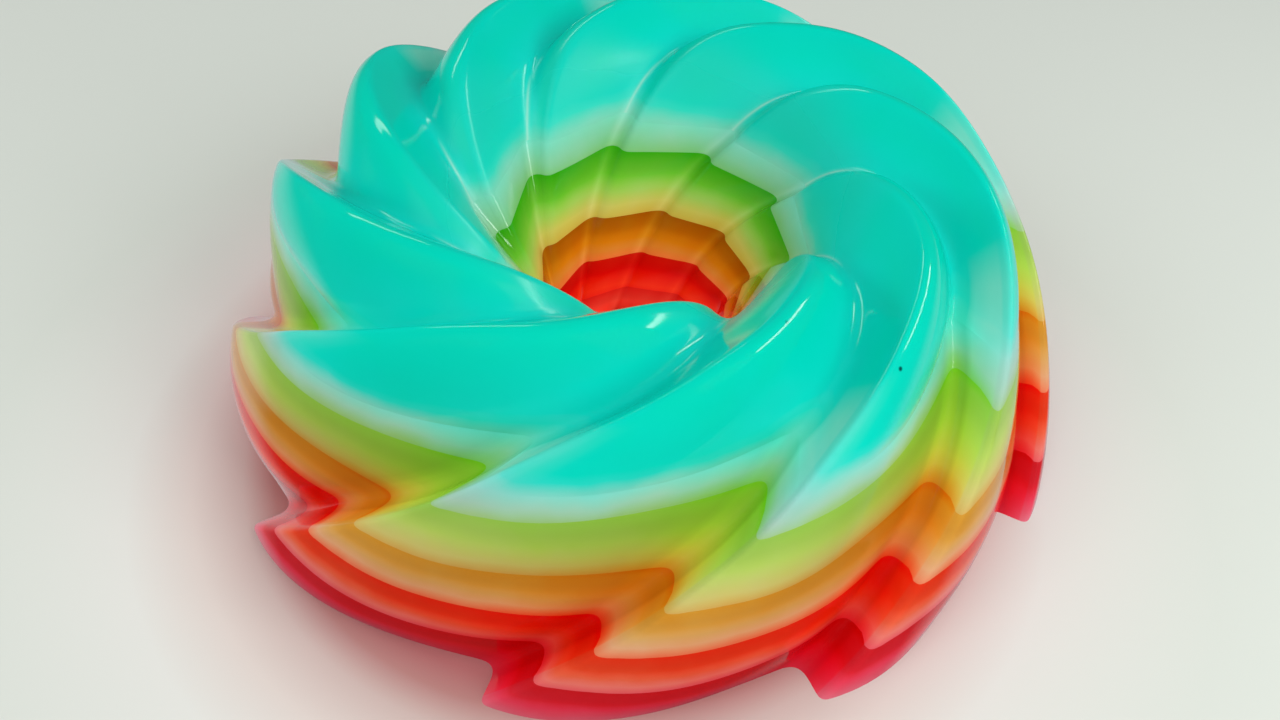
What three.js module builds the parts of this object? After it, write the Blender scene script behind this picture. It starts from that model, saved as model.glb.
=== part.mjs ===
// A ring of rainbow jelly, turned out of a swirl mould: nine curved blades wind up the outside, over the top
// and down into a funnel-shaped hole. Ten flat layers run through the whole ring, cloudy and clear by turns.
// Millimetres, +Z up, standing on the plane z = 0, with the origin at the middle of the footprint.
// Turns are in degrees, counterclockwise seen from above.
import * as THREE from 'three';

// Driving dimensions: the whole ring.
const BLADES = 9;
const BLADE_STEP = 360 / BLADES;
const FIRST_FOOT_TURN = -138.9;
const FOOT_RADIUS = 98;
const HOLE_RADIUS = 18;
const RIM_RADIUS = 34;
const SHOULDER_HEIGHT = 48;
const CREST_HEIGHT = 67.5;

// Driving dimensions: the blades. The swell is a share of the back's width, and leans towards the crest.
const FOOT_VALLEY_DEPTH = 9.5;
const RIM_VALLEY_DEPTH = 4.5;
const BLADE_SWELL = 0.1;
const SWELL_SKEW = 1.2;
const CREST_ROUNDING = 2.5;
const VALLEY_ROUNDING = 4;

// How finely the solids are faceted.
const BACK_STEPS = 6;
const TOP_STEPS = 10;

// Each layer's top face, from the plate up. The clear top layer ends in the blades' crests.
const LAYERS = [
  { name: 'layer_01_pink_cloudy', top: 3.8, color: 0xe03c5a, roughness: 0.3 },
  { name: 'layer_02_crimson_clear', top: 9.9, color: 0xb40010, roughness: 0.15 },
  { name: 'layer_03_coral_cloudy', top: 13.9, color: 0xe27a6c, roughness: 0.3 },
  { name: 'layer_04_red_clear', top: 19.7, color: 0xdc2808, roughness: 0.15 },
  { name: 'layer_05_peach_cloudy', top: 24.1, color: 0xd8a46c, roughness: 0.3 },
  { name: 'layer_06_orange_clear', top: 29.6, color: 0xbe6e0a, roughness: 0.15 },
  { name: 'layer_07_lemon_cloudy', top: 34.7, color: 0xc4cc7a, roughness: 0.3 },
  { name: 'layer_08_green_clear', top: 42.5, color: 0x78b428, roughness: 0.15 },
  { name: 'layer_09_white_cloudy', top: SHOULDER_HEIGHT, color: 0x9adcc6, roughness: 0.3 },
  { name: 'layer_10_teal_clear', top: null, color: 0x00c7b2, roughness: 0.15 },
];

const { lerp, degToRad } = THREE.MathUtils;

// Radius, turn and height to a point.
function polar(radius, turn, z) {
  const angle = degToRad(FIRST_FOOT_TURN + turn);
  return new THREE.Vector3(radius * Math.cos(angle), radius * Math.sin(angle), z);
}

// The outer wall at one height. It leans in and winds round as it rises, both a little faster with each
// millimetre. Above the undercut height its valleys deepen and reach under the tips.
const WALL_LEAN = 0.15;
const WALL_LEAN_GROWTH = 0.0031;
const WALL_WINDING = 0.65;
const WALL_WINDING_GROWTH = 0.0026;
const UNDERCUT_HEIGHT = 22;
const VALLEY_DEEPENING = 0.0075;
const VALLEY_UNDERCUT = 0.22;

// Each back bulges a little near its valley, and more below the sag height, where the soft ring gives under
// its own weight.
const SIDE_BULGE = 1.2;
const SAG_BULGE = 2.2;
const SAG_HEIGHT = 29;

function outerWall(z) {
  const radius = FOOT_RADIUS - WALL_LEAN * z - WALL_LEAN_GROWTH * z * z;
  const turn = WALL_WINDING * z + WALL_WINDING_GROWTH * z * z;
  const above = Math.max(0, z - UNDERCUT_HEIGHT);
  const depth = FOOT_VALLEY_DEPTH + VALLEY_DEEPENING * above * above;
  return {
    crest: { radius, turn, z },
    valley: { radius: radius - depth, turn: turn + VALLEY_UNDERCUT * above, z },
    bulge: SIDE_BULGE + SAG_BULGE * Math.sin(Math.PI * Math.min(1, z / SAG_HEIGHT)),
  };
}

// The hole at one height: a funnel that winds the same way. Here each valley lies just past the crest of
// the blade before, a little nearer to it towards the rim, and almost fades out at the base.
const FUNNEL_POWER = 2.5;
const RIM_TURN = 122;
const HOLE_WINDING = 1.12;
const HOLE_VALLEY_DEPTH = 0.2;
const VALLEY_LEAD = 6.5;
const VALLEY_LEAD_LOSS = 0.16;
const LEAD_LOSS_HEIGHT = 29;

function holeWall(z) {
  const share = z / SHOULDER_HEIGHT;
  const radius = HOLE_RADIUS + (RIM_RADIUS - HOLE_RADIUS) * share ** FUNNEL_POWER;
  const turn = RIM_TURN + HOLE_WINDING * (SHOULDER_HEIGHT - z);
  const depth = HOLE_VALLEY_DEPTH + RIM_VALLEY_DEPTH * share * share;
  const lead = VALLEY_LEAD - VALLEY_LEAD_LOSS * Math.max(0, z - LEAD_LOSS_HEIGHT);
  return {
    crest: { radius, turn, z },
    valley: { radius: radius + depth, turn: turn - BLADE_STEP + lead, z },
  };
}

// Over the top: share runs from 0 at the outer shoulder to 1 at the rim of the hole. The valley bows
// outwards, and is highest nearer the rim. Lift is how far up from level a blade's back swells.
const CREST_ARCH_POWER = 2.5;
const VALLEY_RISE = 35;
const VALLEY_RISE_SKEW = 0.7;
const VALLEY_BOW = 19.6;
const TOP_LIFT = 60;

function overTop(share) {
  const from = outerWall(SHOULDER_HEIGHT);
  const to = holeWall(SHOULDER_HEIGHT);
  const arch = 1 - Math.abs(2 * share - 1) ** CREST_ARCH_POWER;
  const hump = share * (1 - share);
  return {
    crest: {
      radius: lerp(from.crest.radius, to.crest.radius, share),
      turn: lerp(from.crest.turn, to.crest.turn, share),
      z: SHOULDER_HEIGHT + (CREST_HEIGHT - SHOULDER_HEIGHT) * arch,
    },
    valley: {
      radius: lerp(from.valley.radius, to.valley.radius, share) + VALLEY_BOW * hump * (1 - share),
      turn: lerp(from.valley.turn, to.valley.turn, share),
      z: SHOULDER_HEIGHT + VALLEY_RISE * hump * (1 + VALLEY_RISE_SKEW * (share - 0.5)),
    },
    lift: TOP_LIFT * Math.sin(Math.PI * share),
    bulge: SIDE_BULGE * (1 - share) ** 2,
  };
}

// A point on a blade's back, which swells out between its crest and the next valley. The bulge comes on top,
// whole at three quarters of the way to the valley.
const BULGE_SCALE = 256 / 27;

function backPoint(crest, valley, lift, bulge, share) {
  const chord = valley.clone().sub(crest);
  const outward = new THREE.Vector3(chord.y, -chord.x, 0).normalize();
  outward.multiplyScalar(Math.cos(degToRad(lift)));
  outward.z = Math.sin(degToRad(lift));
  const bow = 4 * share * (1 - share) * (1 + SWELL_SKEW * (0.5 - share));
  const swell = BLADE_SWELL * chord.length() * bow + bulge * BULGE_SCALE * share ** 3 * (1 - share);
  return crest.clone().addScaledVector(chord, share).addScaledVector(outward, swell);
}

// The middle of the rounded corner that replaces a sharp one.
function cornerPoint(before, corner, after) {
  return before.clone().add(after).multiplyScalar(0.25).addScaledVector(corner, 0.5);
}

// How much of a face a rounding takes, as a share of its length.
const LARGEST_TRIM = 0.4;

function trim(rounding, length) {
  return Math.min(LARGEST_TRIM, rounding / length);
}

// One closed outline round the ring: for each blade its rounded crest, its back, the rounded valley
// and the steep front of the next blade.
function outline({ crest, valley, lift = 0, bulge = 0 }) {
  const points = [];
  const at = (spot, blade) => polar(spot.radius, spot.turn + blade * BLADE_STEP, spot.z);
  for (let blade = 0; blade < BLADES; blade += 1) {
    const crestHere = at(crest, blade);
    const valleyHere = at(valley, blade);
    const valleyNext = at(valley, blade + 1);
    const crestNext = at(crest, blade + 1);
    const backLength = crestHere.distanceTo(valleyNext);
    const frontLength = crestHere.distanceTo(valleyHere);
    const backStart = trim(CREST_ROUNDING, backLength);
    const backEnd = 1 - trim(VALLEY_ROUNDING, backLength);
    const frontStart = trim(VALLEY_ROUNDING, frontLength);
    const frontEnd = 1 - trim(CREST_ROUNDING, frontLength);
    const back = [];
    for (let step = 0; step <= BACK_STEPS; step += 1) {
      const share = lerp(backStart, backEnd, step / BACK_STEPS);
      back.push(backPoint(crestHere, valleyNext, lift, bulge, share));
    }
    const frontBefore = valleyHere.clone().lerp(crestHere, frontEnd);
    const frontFoot = valleyNext.clone().lerp(crestNext, frontStart);
    const frontHead = valleyNext.clone().lerp(crestNext, frontEnd);
    points.push(cornerPoint(frontBefore, crestHere, back[0]), ...back);
    points.push(cornerPoint(back[BACK_STEPS], valleyNext, frontFoot), frontFoot, frontHead);
  }
  return points;
}

// Collects points and triangles into one closed mesh.
class Shell {
  constructor() {
    this.points = [];
    this.index = [];
  }

  addRing(points) {
    const start = this.points.length;
    this.points.push(...points);
    return { start, count: points.length };
  }

  // The band between two rings, facing out when the second ring lies above the first on the outside.
  band(below, above) {
    for (let i = 0; i < below.count; i += 1) {
      const next = (i + 1) % below.count;
      this.index.push(below.start + i, below.start + next, above.start + next);
      this.index.push(below.start + i, above.start + next, above.start + i);
    }
  }

  // A flat face between an outer ring and the hole's ring, facing up or down.
  cap(outer, hole, up) {
    const rim = this.points.slice(outer.start, outer.start + outer.count);
    const bore = this.points.slice(hole.start, hole.start + hole.count);
    const where = (i) => (i < outer.count ? outer.start + i : hole.start + i - outer.count);
    for (const [a, b, c] of THREE.ShapeUtils.triangulateShape(rim, [bore])) {
      const [p, q, r] = [a, b, c].map((i) => this.points[where(i)]);
      const area = (q.x - p.x) * (r.y - p.y) - (q.y - p.y) * (r.x - p.x);
      const face = area > 0 === up ? [a, b, c] : [a, c, b];
      this.index.push(...face.map(where));
    }
  }

  geometry() {
    const geometry = new THREE.BufferGeometry().setFromPoints(this.points);
    geometry.setIndex(this.index);
    geometry.computeVertexNormals();
    return geometry;
  }
}

// A layer between two flat faces.
function flatLayer(bottom, top) {
  const shell = new Shell();
  const outerFoot = shell.addRing(outline(outerWall(bottom)));
  const outerHead = shell.addRing(outline(outerWall(top)));
  const holeFoot = shell.addRing(outline(holeWall(bottom)));
  const holeHead = shell.addRing(outline(holeWall(top)));
  shell.band(outerFoot, outerHead);
  shell.band(holeHead, holeFoot);
  shell.cap(outerFoot, holeFoot, false);
  shell.cap(outerHead, holeHead, true);
  return shell.geometry();
}

// The clear top layer: flat underneath, with the blades' crests and valleys on top.
function bladedLayer() {
  const shell = new Shell();
  const rings = [];
  for (let step = 0; step <= TOP_STEPS; step += 1) {
    const share = (1 - Math.cos((Math.PI * step) / TOP_STEPS)) / 2;
    rings.push(shell.addRing(outline(overTop(share))));
  }
  for (let step = 0; step < TOP_STEPS; step += 1) {
    shell.band(rings[step], rings[step + 1]);
  }
  shell.cap(rings[0], rings[TOP_STEPS], false);
  return shell.geometry();
}

const jelly = new THREE.Group();
let bottom = 0;
for (const { name, top, color, roughness } of LAYERS) {
  const geometry = top === null ? bladedLayer() : flatLayer(bottom, top);
  const material = new THREE.MeshStandardMaterial({ color, roughness, metalness: 0 });
  const layer = new THREE.Mesh(geometry, material);
  layer.name = name;
  jelly.add(layer);
  bottom = top;
}

// An odd number of blades reaches further one way than the other, so the ring is moved until the
// middle of its footprint is over the origin.
const middle = new THREE.Box3().setFromObject(jelly).getCenter(new THREE.Vector3());
jelly.position.set(-middle.x, -middle.y, 0);

export default jelly;
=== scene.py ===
"""A ring of rainbow jelly from a swirl mould, on a plain pale floor.

Ten layers run through the whole ring, cloudy and clear by turns. Each is one closed mesh that stands
for its CAD node. The shape repeats the CAD's formulas on a much finer grid: sizes are in millimetres
and turns in degrees about the swirl's axis until build() writes a mesh in metres in the row frame.
"""

import math

import bpy
import numpy as np
from mathutils import Matrix, Vector
from mathutils.geometry import delaunay_2d_cdt


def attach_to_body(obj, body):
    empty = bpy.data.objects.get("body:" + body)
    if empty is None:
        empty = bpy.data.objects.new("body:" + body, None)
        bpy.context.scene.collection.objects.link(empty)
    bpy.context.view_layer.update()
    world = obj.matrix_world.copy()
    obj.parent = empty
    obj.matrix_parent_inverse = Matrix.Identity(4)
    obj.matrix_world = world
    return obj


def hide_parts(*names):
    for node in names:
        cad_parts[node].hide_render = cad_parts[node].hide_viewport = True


MM = 0.001

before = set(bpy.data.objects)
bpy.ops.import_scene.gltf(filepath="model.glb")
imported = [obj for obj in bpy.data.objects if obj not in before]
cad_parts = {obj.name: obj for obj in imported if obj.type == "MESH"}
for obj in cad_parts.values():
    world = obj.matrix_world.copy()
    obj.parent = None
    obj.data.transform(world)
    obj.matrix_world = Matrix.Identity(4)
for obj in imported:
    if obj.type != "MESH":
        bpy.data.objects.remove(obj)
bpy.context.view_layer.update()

# ---------------------------------------------------------------- camera
# The swirl's axis stands this far from the row frame's origin.
AXIS = np.array([0.85096, 1.13898, 0.0])
# A camera fitted to the blades' tips and notches: focal length in pixels of a picture 1280 wide,
# three turns in radians, and the axis foot in camera space, in foot radii.
FOCAL = 1269.958
TURNS = (0.7946596, 0.0982602, 0.1427993)
FOOT_IN_CAMERA = (-0.001749, 0.0135737, 3.1924898)
PICTURE_WIDTH = 1280
SENSOR_WIDTH = 36.0
NEAREST = 0.01
FARTHEST = 20


def add_camera():
    about_x, about_y, about_z = TURNS
    turn = (
        Matrix.Rotation(about_z, 3, "Z")
        @ Matrix.Rotation(about_y, 3, "Y")
        @ Matrix.Rotation(about_x, 3, "X")
    )
    to_camera = turn @ Matrix(((1, 0, 0), (0, 0, -1), (0, 1, 0)))
    place = -(to_camera.transposed() @ Vector(FOOT_IN_CAMERA)) * FOOT_RADIUS * MM
    place += Vector(AXIS) * MM
    right, down, ahead = (Vector(row) for row in to_camera)
    data = bpy.data.cameras.new("camera")
    data.sensor_width = SENSOR_WIDTH
    data.lens = FOCAL * SENSOR_WIDTH / PICTURE_WIDTH
    data.clip_start = NEAREST
    data.clip_end = FARTHEST
    camera = bpy.data.objects.new("camera", data)
    bpy.context.scene.collection.objects.link(camera)
    pose = Matrix((right, -down, -ahead)).transposed().to_4x4()
    pose.translation = place
    camera.matrix_world = pose
    bpy.context.scene.camera = camera


# ---------------------------------------------------------------- shape
# The dimensions are the CAD's, by its own names. Only the crests are rounded less, and the steps are finer.
BLADES = 9
BLADE_STEP = 360 / BLADES
FIRST_FOOT_TURN = -138.9
FOOT_RADIUS = 98.0
HOLE_RADIUS = 18.0
RIM_RADIUS = 34.0
SHOULDER_HEIGHT = 48.0
CREST_HEIGHT = 67.5

FOOT_VALLEY_DEPTH = 9.5
RIM_VALLEY_DEPTH = 4.5
BLADE_SWELL = 0.1
SWELL_SKEW = 1.2
CREST_ROUNDING = 1.6
VALLEY_ROUNDING = 4.0
HOLE_VALLEY_ROUNDING = 3.0
LARGEST_TRIM = 0.4

CORNER_STEPS = 8
BACK_STEPS = 30
FRONT_STEPS = 10
TOP_STEPS = 90
ROW_HEIGHT = 1.1
SMOOTHINGS = 2


def polar(radius, turn, z):
    angle = math.radians(FIRST_FOOT_TURN + turn)
    return np.array([radius * math.cos(angle), radius * math.sin(angle), z])


def mix(a, b, share):
    return a + (b - a) * share


# Each of the next three functions gives a crest and the valley behind it, each as radius, turn and height,
# how far up from level the back between them swells, its bulge, and the valley's rounding.

# The outer wall leans in and winds round as it rises, both a little faster with each millimetre. Above the
# undercut height its valleys deepen and reach under the tips.
WALL_LEAN = 0.15
WALL_LEAN_GROWTH = 0.0031
WALL_WINDING = 0.65
WALL_WINDING_GROWTH = 0.0026
UNDERCUT_HEIGHT = 22
VALLEY_DEEPENING = 0.0075
VALLEY_UNDERCUT = 0.22
# Each back bulges a little near its valley, and more below the sag height.
SIDE_BULGE = 1.2
SAG_BULGE = 2.2
SAG_HEIGHT = 29


def outer_wall(z):
    radius = FOOT_RADIUS - WALL_LEAN * z - WALL_LEAN_GROWTH * z * z
    turn = WALL_WINDING * z + WALL_WINDING_GROWTH * z * z
    above = max(0.0, z - UNDERCUT_HEIGHT)
    depth = FOOT_VALLEY_DEPTH + VALLEY_DEEPENING * above * above
    bulge = SIDE_BULGE + SAG_BULGE * math.sin(math.pi * min(1, z / SAG_HEIGHT))
    crest = (radius, turn, z)
    valley = (radius - depth, turn + VALLEY_UNDERCUT * above, z)
    return crest, valley, 0.0, bulge, VALLEY_ROUNDING


# The hole is a funnel that winds the same way, with shallow valleys just past the crests.
FUNNEL_POWER = 2.5
RIM_TURN = 122
HOLE_WINDING = 1.12
HOLE_VALLEY_DEPTH = 0.2
VALLEY_LEAD = 6.5
VALLEY_LEAD_LOSS = 0.16
LEAD_LOSS_HEIGHT = 29


def hole_wall(z):
    share = z / SHOULDER_HEIGHT
    radius = HOLE_RADIUS + (RIM_RADIUS - HOLE_RADIUS) * share**FUNNEL_POWER
    turn = RIM_TURN + HOLE_WINDING * (SHOULDER_HEIGHT - z)
    lead = VALLEY_LEAD - VALLEY_LEAD_LOSS * max(0.0, z - LEAD_LOSS_HEIGHT)
    crest = (radius, turn, z)
    valley_radius = radius + HOLE_VALLEY_DEPTH + RIM_VALLEY_DEPTH * share * share
    valley = (valley_radius, turn - BLADE_STEP + lead, z)
    return crest, valley, 0.0, 0.0, HOLE_VALLEY_ROUNDING


# Over the top, share runs from 0 at the outer shoulder to 1 at the rim of the hole.
CREST_ARCH_POWER = 2.5
VALLEY_RISE = 35
VALLEY_RISE_SKEW = 0.7
VALLEY_BOW = 19.6
TOP_LIFT = 60


def over_top(share):
    crest_a, valley_a, _, _, rounding_a = outer_wall(SHOULDER_HEIGHT)
    crest_b, valley_b, _, _, rounding_b = hole_wall(SHOULDER_HEIGHT)
    arch = 1 - abs(2 * share - 1) ** CREST_ARCH_POWER
    hump = share * (1 - share)
    crest = (
        mix(crest_a[0], crest_b[0], share),
        mix(crest_a[1], crest_b[1], share),
        SHOULDER_HEIGHT + (CREST_HEIGHT - SHOULDER_HEIGHT) * arch,
    )
    valley = (
        mix(valley_a[0], valley_b[0], share) + VALLEY_BOW * hump * (1 - share),
        mix(valley_a[1], valley_b[1], share),
        SHOULDER_HEIGHT + VALLEY_RISE * hump * (1 + VALLEY_RISE_SKEW * (share - 0.5)),
    )
    lift = TOP_LIFT * math.sin(math.pi * share)
    bulge = SIDE_BULGE * (1 - share) ** 2
    return crest, valley, lift, bulge, mix(rounding_a, rounding_b, share)


# The bulge is whole at three quarters of the way to the valley.
BULGE_SCALE = 256 / 27


def back_point(crest, valley, lift, bulge, share):
    """A point on a blade's back, which swells out between its crest and the next valley."""
    chord = valley - crest
    outward = np.array([chord[1], -chord[0], 0.0])
    outward *= math.cos(math.radians(lift)) / np.linalg.norm(outward)
    outward[2] = math.sin(math.radians(lift))
    bow = 4 * share * (1 - share) * (1 + SWELL_SKEW * (0.5 - share))
    swell = BLADE_SWELL * np.linalg.norm(chord) * bow + bulge * BULGE_SCALE * share**3 * (1 - share)
    return crest + share * chord + swell * outward


def corner(before, point, after):
    """The points of the rounded corner that replaces a sharp one."""
    shares = np.arange(1, CORNER_STEPS)[:, None] / CORNER_STEPS
    return list((1 - shares) ** 2 * before + 2 * shares * (1 - shares) * point + shares**2 * after)


def trim(rounding, length):
    """How much of a face a rounding takes, as a share of its length."""
    return min(LARGEST_TRIM, rounding / length)


def on_blade(spot, blade):
    radius, turn, z = spot
    return polar(radius, turn + blade * BLADE_STEP, z)


def outline(section):
    """One closed ring of points: for each blade its crest, its back, the valley and the next front."""
    crest, valley, lift, bulge, valley_rounding = section
    points = []
    for blade in range(BLADES):
        crest_here = on_blade(crest, blade)
        valley_here = on_blade(valley, blade)
        valley_next = on_blade(valley, blade + 1)
        crest_next = on_blade(crest, blade + 1)
        back_length = np.linalg.norm(valley_next - crest_here)
        front_length = np.linalg.norm(crest_here - valley_here)
        back_start = trim(CREST_ROUNDING, back_length)
        back_end = 1 - trim(valley_rounding, back_length)
        front_start = trim(valley_rounding, front_length)
        front_end = 1 - trim(CREST_ROUNDING, front_length)
        back = [
            back_point(crest_here, valley_next, lift, bulge, mix(back_start, back_end, step / BACK_STEPS))
            for step in range(BACK_STEPS + 1)
        ]
        front_before = mix(valley_here, crest_here, front_end)
        foot = mix(valley_next, crest_next, front_start)
        head = mix(valley_next, crest_next, front_end)
        points += corner(front_before, crest_here, back[0])
        points += back
        points += corner(back[-1], valley_next, foot)
        points += [mix(foot, head, step / FRONT_STEPS) for step in range(FRONT_STEPS + 1)]
    ring = np.array(points)
    for _ in range(SMOOTHINGS):
        ring = (np.roll(ring, 1, 0) + 2 * ring + np.roll(ring, -1, 0)) / 4
    return ring


# ---------------------------------------------------------------- how each place on a blade is painted
# A place is 0 on a crest, 1 in the valley after its back and 2 on the next crest, after the front. A
# rounded corner takes this much of it, half on either side.
CORNER_SPAN = 0.04


def blade_places():
    """Where each point of an outline lies on its blade."""
    beside = CORNER_SPAN / 2
    corner_places = CORNER_SPAN * (np.arange(1, CORNER_STEPS) / CORNER_STEPS - 0.5)
    one = [
        corner_places % 2,
        np.linspace(beside, 1 - beside, BACK_STEPS + 1),
        1 + corner_places,
        np.linspace(1 + beside, 2 - beside, FRONT_STEPS + 1),
    ]
    return np.tile(np.concatenate(one), BLADES)


PLACES = blade_places()


def along_blade(stops):
    """A value for each point of an outline, from (place on the blade, value) pairs."""
    places, values = zip(*stops)
    return np.interp(PLACES, places, values)


# How far light goes through the jelly before it comes back out, against the wall a little behind a crest.
CLEAR_DEPTHS = along_blade(
    ((0, 0.95), (0.2, 1), (0.6, 1.2), (1, 1.65), (1.3, 1.4), (1.9, 1.2), (2, 0.95))
)
CLOUDY_DEPTHS = along_blade(
    ((0, 0.9), (0.2, 1), (0.6, 1.15), (0.8, 1.5), (0.95, 1.95), (1.2, 2.05), (1.9, 1.35), (2, 0.9))
)
# Painted light in the hole's wall: its thin steps are painted a little paler and lighter, each crease
# lighter still, and a thin pale line down each crease is a painted highlight.
HOLE_DEPTHS = along_blade(
    ((0, 0.95), (0.06, 1), (0.98, 1), (1, 0.8), (1.02, 0.95), (1.5, 0.9), (2, 0.95))
)
HOLE_LIGHT = along_blade(
    ((0, 1.04), (0.06, 1), (0.985, 1), (1, 1.12), (1.015, 1.04), (1.5, 1.06), (2, 1.04))
)
CREASE_HIGHLIGHTS = along_blade(((0, 0), (0.994, 0), (1, 0.5), (1.006, 0), (2, 0)))
# The white layer shows through the foot of each top front and the thin outer end of its crest; part of that
# paleness is painted sheen on the fronts and painted rim light on the crest's end.
PALE_FRONTS = along_blade(
    ((0, 0.15), (0.05, 0.06), (0.12, 0), (1, 0), (1.15, 0.25), (1.6, 0.38), (1.95, 0.38), (2, 0.15))
)
# Painted light and shade: how bright the wall is painted low down, half up and at its top. The fronts, and
# higher up the valleys under them, are painted lighter, as where light comes through the jelly of the
# blades; the backs are painted darker towards each valley higher up, and the valleys themselves low down.
LOW_LIGHT = along_blade(
    ((0, 0.95), (0.4, 0.95), (0.8, 1.05), (1, 0.85), (1.2, 1), (1.95, 1.1), (2, 0.95))
)
HIGH_LIGHT = along_blade(
    ((0, 1.05), (0.1, 1.05), (0.8, 0.75), (0.93, 0.75), (1, 1), (1.2, 1.3), (1.97, 1.4), (2, 1.05))
)
TOP_LIGHT = along_blade(
    ((0, 0.9), (0.2, 1), (0.6, 1), (0.92, 0.9), (1, 1.05), (1.2, 1.25), (1.6, 1.15), (1.97, 1.15), (2, 0.9))
)
# The heights over which one of those gives way to the next.
LOW_TO_HIGH = (16, 32)
HIGH_TO_TOP = (38, 46)
# The top cloudy layer stays white on the fronts.
SHOULDER_DEPTHS = along_blade(
    ((0, 0.75), (0.05, 0.9), (0.4, 1), (1, 1), (1.2, 0.8), (1.6, 0.75), (1.9, 0.65), (2, 0.75))
)
SHOULDER_FROM = (42.5, 45)
TOP_DEPTHS = along_blade(
    ((0, 0.85), (0.06, 1), (0.5, 1), (0.95, 0.75), (1.05, 0.75), (1.6, 0.95), (2, 0.85))
)
# How far over a cloudy layer's foot its cloud is gone, and over the shoulder the top's own paint is whole.
CLOUD_HEIGHT = 8
TOP_FADE = 5
# The shares of the way over the top at which the paint turns to the hole's, the painted highlight lines
# come in, and the pale of the fronts, partly painted sheen, comes and goes.
TURNS_INSIDE = (0.625, 0.875)
HIGHLIGHTS_FROM = (0.72, 0.85)
FRONTS_OVER = (0, 0.03, 0.1, 0.18)
PAINT = ("height", "light_depth", "light", "inside", "highlight_and_see_through")


def attach(ring, height, depths, light, inside, highlight_and_see_through=0):
    """The ring with a column for each name in PAINT: its height, its light depths, how bright it is painted
    as light and shade, 0 on the outer wall to 1 in the hole, and how pale it is painted by painted
    highlights and by the white layer showing through."""
    columns = (np.broadcast_to(value, len(ring)) for value in (height, depths, light, inside, highlight_and_see_through))
    return np.column_stack([ring, *columns])


def wall_depths(z):
    """The cloud of each cloudy layer thins out upwards, into the clear one over it."""
    foot = max(foot for foot in CLOUDY_FEET if foot <= max(z, 0))
    depths = mix(CLOUDY_DEPTHS, CLEAR_DEPTHS, min(1, (max(z, 0) - foot) / CLOUD_HEIGHT))
    return depths * mix(1, SHOULDER_DEPTHS, np.interp(z, SHOULDER_FROM, (0, 1)))


# The painted light and shade of the outer wall at height z.
def wall_light(z):
    light = mix(LOW_LIGHT, HIGH_LIGHT, np.interp(z, LOW_TO_HIGH, (0, 1)))
    return mix(light, TOP_LIGHT, np.interp(z, HIGH_TO_TOP, (0, 1)))


# ---------------------------------------------------------------- rings and meshes
# The layers were poured one on another in the upturned mould, and each crept down its narrow crests. The
# dips fade out towards the foot and the shoulder, over these heights.
CREST_DIPS = 0.8 * along_blade(((0, 1), (0.05, 0.5), (0.15, 0), (1.5, 0), (1.8, 0.5), (2, 1)))
DIP_OVER_FOOT = 6
DIP_UNDER_SHOULDER = 5


def outer_ring(z):
    ring = outline(outer_wall(z))
    fade = min(1, z / DIP_OVER_FOOT, (SHOULDER_HEIGHT - z) / DIP_UNDER_SHOULDER)
    if fade > 0:
        rise = outline(outer_wall(z + 0.5)) - outline(outer_wall(z - 0.5))
        ring = ring - fade * CREST_DIPS[:, None] * rise
    return attach(ring, z, wall_depths(z), wall_light(z), 0)


def hole_ring(z):
    return attach(outline(hole_wall(z)), z, HOLE_DEPTHS, HOLE_LIGHT, 1)


def top_ring(share):
    ring = outline(over_top(share))
    above = np.clip((ring[:, 2] - SHOULDER_HEIGHT) / TOP_FADE, 0, 1)
    if share < 0.5:
        depths = wall_depths(SHOULDER_HEIGHT)
        light = wall_light(SHOULDER_HEIGHT)
    else:
        depths = HOLE_DEPTHS
        light = HOLE_LIGHT
    inside = np.interp(share, TURNS_INSIDE, (0, 1))
    highlight_and_see_through = CREASE_HIGHLIGHTS * np.interp(share, HIGHLIGHTS_FROM, (0, 1))
    highlight_and_see_through = highlight_and_see_through + PALE_FRONTS * np.interp(share, FRONTS_OVER, (0, 1, 1, 0))
    return attach(ring, ring[:, 2], mix(depths, TOP_DEPTHS, above), mix(light, 1, above), inside, highlight_and_see_through)


WANDER = 0.3
WANDER_WAVES = 12
WANDER_LENGTHS = (30, 70)
WANDER_SEED = 4
LEVEL_FOOT = 6


def uneven(points):
    """Small slow wanders of a surface that was set in a thin mould and turned out of it. The foot stays
    level."""
    random = np.random.default_rng(WANDER_SEED)
    moved = points.copy()
    for _ in range(WANDER_WAVES):
        heading, sway = random.normal(size=(2, 3))
        length = random.uniform(*WANDER_LENGTHS)
        phase = random.uniform(0, 2 * math.pi)
        wave = np.sin(points @ heading / np.linalg.norm(heading) * 2 * math.pi / length + phase)
        moved += wave[:, None] * sway * WANDER / math.sqrt(WANDER_WAVES)
    moved[:, 2] = mix(points[:, 2], moved[:, 2], np.clip(points[:, 2] / LEVEL_FOOT, 0, 1))
    return moved


def inset(ring, amount):
    """The ring moved into the jelly by amount, level. Positive goes left of the ring's direction."""
    along = np.roll(ring[:, :3], -1, 0) - np.roll(ring[:, :3], 1, 0)
    side = np.stack([-along[:, 1], along[:, 0], np.zeros(len(ring))], 1)
    moved = ring.copy()
    moved[:, :3] += amount * side / np.linalg.norm(side, axis=1)[:, None]
    return moved


def rows(low, high):
    return np.linspace(low, high, max(2, int(round((high - low) / ROW_HEIGHT)) + 1))


INSIDE_WITH_HOLES = 2
CAP_TOLERANCE = 1e-9


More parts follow.
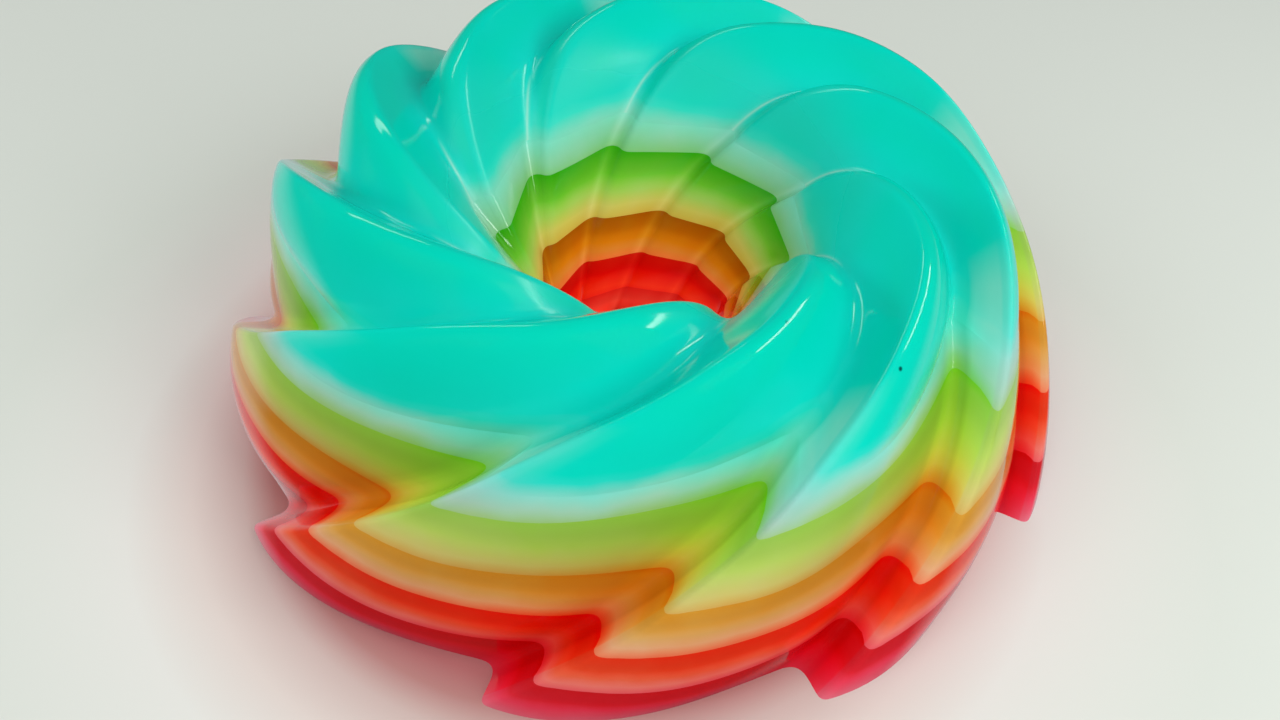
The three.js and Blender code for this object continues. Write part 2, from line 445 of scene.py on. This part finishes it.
def cap(points, first, second, count, up):
    """Closes the ring between two rows with triangles that join near points, so none leaves the wall."""
    near = np.arange(count)
    numbers = np.concatenate([first * count + near, second * count + near])
    loops = [near.tolist(), (near + count).tolist()]
    flat = [Vector(point) for point in points[numbers, :2].tolist()]
    _, _, triangles, sources, _, _ = delaunay_2d_cdt(flat, [], loops, INSIDE_WITH_HOLES, CAP_TOLERANCE)
    faces = []
    for triangle in triangles:
        a, b, c = (int(numbers[sources[vertex][0]]) for vertex in triangle)
        p, q, r = points[a], points[b], points[c]
        area = (q[0] - p[0]) * (r[1] - p[1]) - (q[1] - p[1]) * (r[0] - p[0])
        faces.append([a, b, c] if (area > 0) == up else [a, c, b])
    return faces


def build(name, outer, hole, material, folded_rows=()):
    """A closed mesh from the rings of the outer wall, bottom to top, and those of the hole's wall."""
    rings = list(outer) + list(reversed(hole))
    count = len(rings[0])
    stacked = np.concatenate(rings)
    points = uneven(stacked[:, :3])
    faces = []
    near = np.arange(count)
    far = (near + 1) % count
    last = len(rings) - 1
    for i in range(last):
        if not hole or i != len(outer) - 1:
            lower = i * count
            upper = lower + count
            faces += np.stack([lower + near, lower + far, upper + far, upper + near], 1).tolist()
    wall_faces = len(faces)
    if hole:
        faces += cap(points, len(outer) - 1, len(outer), count, True)
    faces += cap(points, 0, last, count, False)
    mesh = bpy.data.meshes.new(name)
    mesh.from_pydata(((points + AXIS) * MM).tolist(), [], faces)
    mesh.update()
    mesh.polygons.foreach_set("use_smooth", np.arange(len(faces)) < wall_faces)
    edges = np.empty(2 * len(mesh.edges), int)
    mesh.edges.foreach_get("vertices", edges)
    edge_rows = edges.reshape(-1, 2) // count
    folds = {0, last, len(outer) - 1, len(outer)} | set(folded_rows) | {last - row for row in folded_rows}
    sharp = (edge_rows[:, 0] == edge_rows[:, 1]) & np.isin(edge_rows[:, 0], list(folds))
    mesh.attributes.new("sharp_edge", "BOOLEAN", "EDGE").data.foreach_set("value", sharp)
    for column, attribute_name in enumerate(PAINT, 3):
        values = mesh.attributes.new(attribute_name, "FLOAT", "POINT")
        values.data.foreach_set("value", stacked[:, column])
    piece = bpy.data.objects.new(name, mesh)
    bpy.context.scene.collection.objects.link(piece)
    mesh.materials.append(material)
    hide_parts(name)
    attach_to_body(piece, "root")


# ---------------------------------------------------------------- materials
JELLY_IOR = 1.34
# The least and most roughness of the skin. Each noise is its scale and detail.
CLEAR_GLOSS = (0.04, 0.12)
CLOUDY_GLOSS = (0.05, 0.12)
GLOSS_NOISE = (60, 3)
WAVE_NOISE = (130, 2)
WAVE_STRENGTH = 0.03
WAVE_HEIGHT = 0.001
# The edge of each cloud drifts up and down, and the colour is mottled.
DRIFT_NOISE = (70, 2)
MOTTLE_NOISE = (110, 4)
MOTTLE = 0.35


def new_material(name):
    material = bpy.data.materials.new(name)
    material.use_nodes = True
    tree = material.node_tree
    tree.nodes.clear()
    out = tree.nodes.new("ShaderNodeOutputMaterial")
    shader = tree.nodes.new("ShaderNodeBsdfPrincipled")
    tree.links.new(shader.outputs["BSDF"], out.inputs["Surface"])
    return material, tree, shader, out


def srgb(code):
    """A colour code as the eye reads it, to the linear light that the shaders take."""
    parts = [int(code[i : i + 2], 16) / 255 for i in (0, 2, 4)]
    return [p / 12.92 if p <= 0.04045 else ((p + 0.055) / 1.055) ** 2.4 for p in parts]


def attribute(tree, name):
    node = tree.nodes.new("ShaderNodeAttribute")
    node.attribute_name = name
    return node.outputs["Fac"]


def math_node(tree, operation, *values):
    node = tree.nodes.new("ShaderNodeMath")
    node.operation = operation
    for socket, value in zip(node.inputs, values):
        if isinstance(value, (int, float)):
            socket.default_value = value
        else:
            tree.links.new(value, socket)
    return node.outputs[0]


def map_range(tree, value, span, onto, smooth=False):
    """The value with its span stretched onto another, and kept within it."""
    node = tree.nodes.new("ShaderNodeMapRange")
    if smooth:
        node.interpolation_type = "SMOOTHSTEP"
    tree.links.new(value, node.inputs["Value"])
    node.inputs["From Min"].default_value, node.inputs["From Max"].default_value = span
    node.inputs["To Min"].default_value, node.inputs["To Max"].default_value = onto
    return node.outputs["Result"]


def scaled(tree, colour, amount):
    node = tree.nodes.new("ShaderNodeVectorMath")
    node.operation = "SCALE"
    tree.links.new(colour, node.inputs["Vector"])
    tree.links.new(amount, node.inputs["Scale"])
    return node.outputs["Vector"]


def blend(tree, share, first, second):
    """Two colours blended by share. The second is a socket or a colour code."""
    node = tree.nodes.new("ShaderNodeMix")
    node.data_type = "RGBA"
    tree.links.new(share, node.inputs["Factor"])
    tree.links.new(first, node.inputs["A"])
    if isinstance(second, str):
        node.inputs["B"].default_value = (*srgb(second), 1)
    else:
        tree.links.new(second, node.inputs["B"])
    return node.outputs["Result"]


def ramp(tree, value, stops):
    """A colour ramp over (value, colour) pairs."""
    low, high = stops[0][0], stops[-1][0]
    node = tree.nodes.new("ShaderNodeValToRGB")
    elements = node.color_ramp.elements
    while len(elements) < len(stops):
        elements.new(0.5)
    for element, (at, code) in zip(elements, stops):
        element.position = (at - low) / (high - low)
        element.color = (*srgb(code), 1)
    tree.links.new(map_range(tree, value, (low, high), (0, 1)), node.inputs["Fac"])
    return node.outputs["Color"]


def noise(tree, scale, detail):
    """Noise from 0 to 1, mostly near the middle."""
    where = tree.nodes.new("ShaderNodeTexCoord")
    node = tree.nodes.new("ShaderNodeTexNoise")
    node.inputs["Scale"].default_value = scale
    node.inputs["Detail"].default_value = detail
    tree.links.new(where.outputs["Object"], node.inputs["Vector"])
    return node.outputs["Fac"]


def wander(tree, scale, detail, amount):
    """Noise about 0, mostly within a quarter of amount either way."""
    centred = math_node(tree, "SUBTRACT", noise(tree, scale, detail), 0.5)
    return math_node(tree, "MULTIPLY", centred, amount)


def distance_from(tree, place):
    where = tree.nodes.new("ShaderNodeTexCoord")
    node = tree.nodes.new("ShaderNodeVectorMath")
    node.operation = "DISTANCE"
    tree.links.new(where.outputs["Object"], node.inputs[0])
    node.inputs[1].default_value = place
    return node.outputs["Value"]


def wet_skin(tree, shader, gloss, rougher_inside=0):
    """Uneven gloss and the faint waves of a set jelly's skin."""
    roughness = map_range(tree, noise(tree, *GLOSS_NOISE), (0, 1), gloss)
    if rougher_inside:
        added = math_node(tree, "MULTIPLY", attribute(tree, "inside"), rougher_inside)
        roughness = math_node(tree, "ADD", roughness, added)
    tree.links.new(roughness, shader.inputs["Roughness"])
    lift = tree.nodes.new("ShaderNodeBump")
    lift.inputs["Strength"].default_value = WAVE_STRENGTH
    lift.inputs["Distance"].default_value = WAVE_HEIGHT
    tree.links.new(noise(tree, *WAVE_NOISE), lift.inputs["Height"])
    tree.links.new(lift.outputs["Normal"], shader.inputs["Normal"])
    shader.inputs["IOR"].default_value = JELLY_IOR


def paint(tree, shader, stops, hole_stops, drift, specks=()):
    """Colour by height in a cloudy layer and the clear one over it, purer where light goes further, times
    its painted light and shade, paled by painted highlights, and flecked.
    """
    height = math_node(tree, "ADD", attribute(tree, "height"), wander(tree, *DRIFT_NOISE, drift))
    outside = ramp(tree, height, stops)
    colour = blend(tree, attribute(tree, "inside"), outside, ramp(tree, height, hole_stops))
    parts = tree.nodes.new("ShaderNodeSeparateColor")
    tree.links.new(colour, parts.inputs["Color"])
    red, green, blue = parts.outputs
    brightness = math_node(tree, "MAXIMUM", math_node(tree, "MAXIMUM", red, green), blue)
    depth = math_node(tree, "ADD", attribute(tree, "light_depth"), wander(tree, *MOTTLE_NOISE, MOTTLE))
    deepened = tree.nodes.new("ShaderNodeGamma")
    pure = scaled(tree, colour, math_node(tree, "DIVIDE", 1.0, brightness))
    tree.links.new(pure, deepened.inputs["Color"])
    tree.links.new(depth, deepened.inputs["Gamma"])
    # Painted light and shade: the colour is scaled by the light attribute.
    light = math_node(tree, "MULTIPLY", brightness, attribute(tree, "light"))
    lit = scaled(tree, deepened.outputs["Color"], light)
    # Painted highlights, and the partly painted sheen of the top fronts, pale the colour towards PALE.
    painted = blend(tree, attribute(tree, "highlight_and_see_through"), lit, PALE)
    for place, radius, darkness in specks:
        fleck = map_range(tree, distance_from(tree, place), (radius, SPECK_CORE * radius), (0, darkness))
        painted = blend(tree, fleck, painted, SPECK)
    tree.links.new(painted, shader.inputs["Base Color"])


def cloudy_jelly(name, stops, hole_stops, drift):
    material, tree, shader, _ = new_material(name)
    paint(tree, shader, stops, hole_stops, drift)
    wet_skin(tree, shader, CLOUDY_GLOSS)
    return material


def clear_jelly(name, stops, hole_stops, drift, density, tint, transmission, heights, rougher_inside):
    """Jelly that some light goes right through, more so from part of the way up its layer."""
    material, tree, shader, out = new_material(name)
    paint(tree, shader, stops, hole_stops, drift, SPECKS.get(name, ()))
    wet_skin(tree, shader, CLEAR_GLOSS, rougher_inside)
    clearness = map_range(tree, attribute(tree, "height"), heights, (0, transmission), smooth=True)
    tree.links.new(clearness, shader.inputs["Transmission Weight"])
    volume = tree.nodes.new("ShaderNodeVolumeAbsorption")
    volume.inputs["Color"].default_value = (*tint, 1)
    volume.inputs["Density"].default_value = density
    tree.links.new(volume.outputs["Volume"], out.inputs["Volume"])
    return material


# ---------------------------------------------------------------- layers
# name, top height, slot
LAYERS = [
    ("layer_01_pink_cloudy", 3.8, "pink_cloudy"),
    ("layer_02_crimson_clear", 9.9, "crimson_clear"),
    ("layer_03_coral_cloudy", 13.9, "coral_cloudy"),
    ("layer_04_red_clear", 19.7, "red_clear"),
    ("layer_05_peach_cloudy", 24.1, "peach_cloudy"),
    ("layer_06_orange_clear", 29.6, "orange_clear"),
    ("layer_07_lemon_cloudy", 34.7, "lemon_cloudy"),
    ("layer_08_green_clear", 42.5, "green_clear"),
    ("layer_09_white_cloudy", SHOULDER_HEIGHT, "white_cloudy"),
    ("layer_10_teal_clear", None, "teal_clear"),
]
# A cloudy layer fades into the clear one over it, so each two share colours by height, as at the crests.
PAIRS = [
    ((0, "d66274"), (1.9, "d84c60"), (3.8, "db364d"), (6, "d41f2c"), (9.9, "ce1a22")),
    ((9.9, "dc5058"), (11.9, "de6e62"), (13.9, "de583b"), (16, "e03d1e"), (19.7, "e42e12")),
    ((19.7, "dc6c48"), (22, "d1966a"), (24.1, "c89454"), (26, "ca8d38"), (29.6, "ce8c28")),
    ((29.6, "c2984a"), (32, "bcb062"), (34.7, "afb85d"), (37, "a3bc54"), (42.5, "94c24c")),
    (
        (42.5, "93b878"),
        (45, "95c2a8"),
        (48, "7dcfbf"),
        (51, "24cebc"),
        (53, "02ccb6"),
        (67.5, "00c2a8"),
    ),
]
# The same inside the hole, where the light has gone through more jelly: a second copy of the colours
# painted for the light in the hole, so partly painted light and shade.
HOLE_PAIRS = [
    ((0, "c01414"), (3.8, "d02818"), (6, "d42e1e"), (9.9, "ce1208")),
    ((9.9, "d41a08"), (11.5, "da2408"), (14, "d61404"), (16, "ce0402"), (19.7, "ce1206")),
    ((19.7, "e07434"), (22, "d4842a"), (24, "d07a0a"), (26.5, "be6604"), (29.6, "a85402")),
    ((29.6, "c6ac40"), (32, "c4be54"), (35, "98c24e"), (38, "64ba26"), (42.5, "30a40a")),
    (
        (42.5, "72b46a"),
        (45, "78be92"),
        (48, "6ec9ae"),
        (51, "22ccb4"),
        (53, "02cab2"),
        (67.5, "00bea4"),
    ),
]
# The colour of the painted highlights, and of the fronts' pale feet where the white layer shows through
# under a painted sheen.
PALE = "b4d8c6"
DRIFTS = (2, 2, 2, 2, 4)
CLOUDY_FEET = [stops[0][0] for stops in PAIRS]
# Two flecks on the top: place and radius in metres, and how dark each is. Each is darkest out to a share
# of its radius.
SPECK = "02423f"
SPECK_CORE = 0.4
SPECKS = {
    "teal_clear": [
        ((0.0555, -0.04988, 0.06117), 0.0006, 1.0),
        ((0.03413, -0.04829, 0.06722), 0.0005, 0.4),
    ],
}
# density, tint, transmission, the heights over which it grows from none, and how much rougher the skin
# is in the hole, where the funnel's lip would otherwise mirror the layers under it
CLEAR = {
    "crimson_clear": (200, (0.985, 0.0, 0.1), 0.15, (4.6, 7.5), 0),
    "red_clear": (180, (0.99, 0.15, 0.0), 0.15, (14.6, 17.5), 0),
    "orange_clear": (150, (0.985, 0.72, 0.0), 0.15, (24.8, 27.5), 0),
    "green_clear": (80, (0.66, 0.95, 0.0), 0.15, (36, 40), 0),
    "teal_clear": (130, (0.0, 0.9, 0.88), 0.03, (52, 57), 0.25),
}
# Each cloudy layer starts this far inside the clear one under it, so no gap shows between them.
OVERLAP = 0.15
SINK = 0.1

add_camera()
bottom = 0.0
for number, (name, top, slot) in enumerate(LAYERS):
    pair = number // 2
    colours = PAIRS[pair], HOLE_PAIRS[pair], DRIFTS[pair]
    if slot in CLEAR:
        material = clear_jelly(slot, *colours, *CLEAR[slot])
    else:
        material = cloudy_jelly(slot, *colours)
    if top is None:
        shares = (1 - np.cos(np.pi * np.arange(TOP_STEPS + 1) / TOP_STEPS)) / 2
        build(name, [top_ring(share) for share in shares], [], material)
        continue
    heights = rows(bottom, top)
    outer = [outer_ring(z) for z in heights]
    hole = [hole_ring(z) for z in heights]
    folded_rows = []
    if slot not in CLEAR and bottom > 0:
        outer.insert(0, inset(outer_ring(bottom - OVERLAP), SINK))
        hole.insert(0, inset(hole_ring(bottom - OVERLAP), -SINK))
        folded_rows = [1]
    build(name, outer, hole, material, folded_rows)
    bottom = top

# ---------------------------------------------------------------- floor
FLOOR_HALF = 3
FLOOR_ROUGHNESS = 0.5
# Painted shadow: the pale floor is painted darker and pink near the jelly's foot, as its shadow and the
# pink light that comes through it, most of it in front, by distance in metres from a point that lies that
# way. Just outside that it is painted a little lighter.
SHADOW_CENTRE = (-0.006, -0.024, 0)
SHADOW_ROUND_FOOT = (
    (0.066, "a86c6c"),
    (0.072, "ac807c"),
    (0.079, "c0b0aa"),
    (0.09, "d0c8c2"),
    (0.104, "d4d6d1"),
    (0.14, "cad0c8"),
)
scene = bpy.context.scene
floor_mesh = bpy.data.meshes.new("floor")
floor_corners = [(x * FLOOR_HALF, y * FLOOR_HALF, 0) for x, y in ((-1, -1), (1, -1), (1, 1), (-1, 1))]
floor_mesh.from_pydata(floor_corners, [], [(0, 1, 2, 3)])
floor = bpy.data.objects.new("floor", floor_mesh)
scene.collection.objects.link(floor)
material, tree, shader, _ = new_material("floor")
# Painted shadow and light on the floor round the foot.
tint = ramp(tree, distance_from(tree, SHADOW_CENTRE), SHADOW_ROUND_FOOT)
tree.links.new(tint, shader.inputs["Base Color"])
shader.inputs["Roughness"].default_value = FLOOR_ROUGHNESS
floor_mesh.materials.append(material)
# The jelly mirrors the world in its place.
floor.visible_glossy = False

# ---------------------------------------------------------------- light
# Soft light comes from all round. The jelly mirrors little of it: only what lies low behind it to either
# side, where the pale plate's reflection shows in its walls. The span is of the cosine to that direction.
SOFT_STRENGTH = 0.68
MIRRORED_FROM = (0.55, 0.6, -0.58)
MIRRORED_SPAN = (0.78, 0.95)
MIRRORED_STRENGTHS = (0.05, 0.5)


def add_world():
    world = bpy.data.worlds.new("studio")
    scene.world = world
    world.use_nodes = True
    sky = world.node_tree
    where = sky.nodes.new("ShaderNodeTexCoord")
    parts = sky.nodes.new("ShaderNodeSeparateXYZ")
    sky.links.new(where.outputs["Generated"], parts.inputs["Vector"])
    either_side = sky.nodes.new("ShaderNodeCombineXYZ")
    sky.links.new(math_node(sky, "ABSOLUTE", parts.outputs["X"]), either_side.inputs["X"])
    sky.links.new(parts.outputs["Y"], either_side.inputs["Y"])
    sky.links.new(parts.outputs["Z"], either_side.inputs["Z"])
    towards = sky.nodes.new("ShaderNodeVectorMath")
    towards.operation = "DOT_PRODUCT"
    sky.links.new(either_side.outputs["Vector"], towards.inputs[0])
    towards.inputs[1].default_value = MIRRORED_FROM
    mirrored = map_range(sky, towards.outputs["Value"], MIRRORED_SPAN, MIRRORED_STRENGTHS, smooth=True)
    ray = sky.nodes.new("ShaderNodeLightPath")
    strength = sky.nodes.new("ShaderNodeMix")
    strength.inputs["A"].default_value = SOFT_STRENGTH
    sky.links.new(ray.outputs["Is Glossy Ray"], strength.inputs["Factor"])
    sky.links.new(mirrored, strength.inputs["B"])
    background = sky.nodes["Background"]
    sky.links.new(strength.outputs["Result"], background.inputs["Strength"])
    background.inputs["Color"].default_value = (1, 1, 1, 1)


JELLY_MIDDLE = (0, 0, 0.03)
JELLY_TOP = (0, 0, 0.05)
# name, place, what it faces, size in metres, watts. The last one stands in the hole and shines up.
SOFT_LIGHTS = (
    ("key", (0.54, -0.24, 0.52), JELLY_MIDDLE, (0.45, 0.45), 3.5),
    ("fill", (-0.3, -0.5, 0.56), JELLY_MIDDLE, (0.55, 0.55), 1.7),
    ("side", (-1.0, 0.2, 0.13), JELLY_MIDDLE, (0.6, 0.2), 3.8),
    ("hole", (0.001, 0.001, 0.001), (0.001, 0.001, 1), (0.025, 0.025), 0.006),
)
# Only mirrored in the wet skin, as thin lines and soft sheens along the crests.
MIRRORED_LIGHTS = (
    ("lamp", (0.72, 0.3, 0.62), JELLY_TOP, (0.8, 0.09), 3),
    ("window", (-0.45, 0.6, 0.8), JELLY_TOP, (0.7, 0.1), 1.4),
)


def add_light(name, place, target, size, power, mirrored):
    data = bpy.data.lights.new(name, "AREA")
    data.shape = "RECTANGLE"
    data.size, data.size_y = size
    data.energy = power
    light = bpy.data.objects.new(name, data)
    scene.collection.objects.link(light)
    light.location = place
    light.rotation_euler = (Vector(target) - Vector(place)).to_track_quat("-Z", "Y").to_euler()
    light.visible_camera = False
    light.visible_diffuse = not mirrored
    light.visible_glossy = mirrored
    light.visible_transmission = mirrored


add_world()
for light in SOFT_LIGHTS:
    add_light(*light, mirrored=False)
for light in MIRRORED_LIGHTS:
    add_light(*light, mirrored=True)

scene.view_settings.view_transform = "Standard"
scene.cycles.use_denoising = True
scene.cycles.max_bounces = 16
scene.cycles.diffuse_bounces = 8
scene.cycles.transmission_bounces = 16
scene.cycles.sample_clamp_indirect = 10
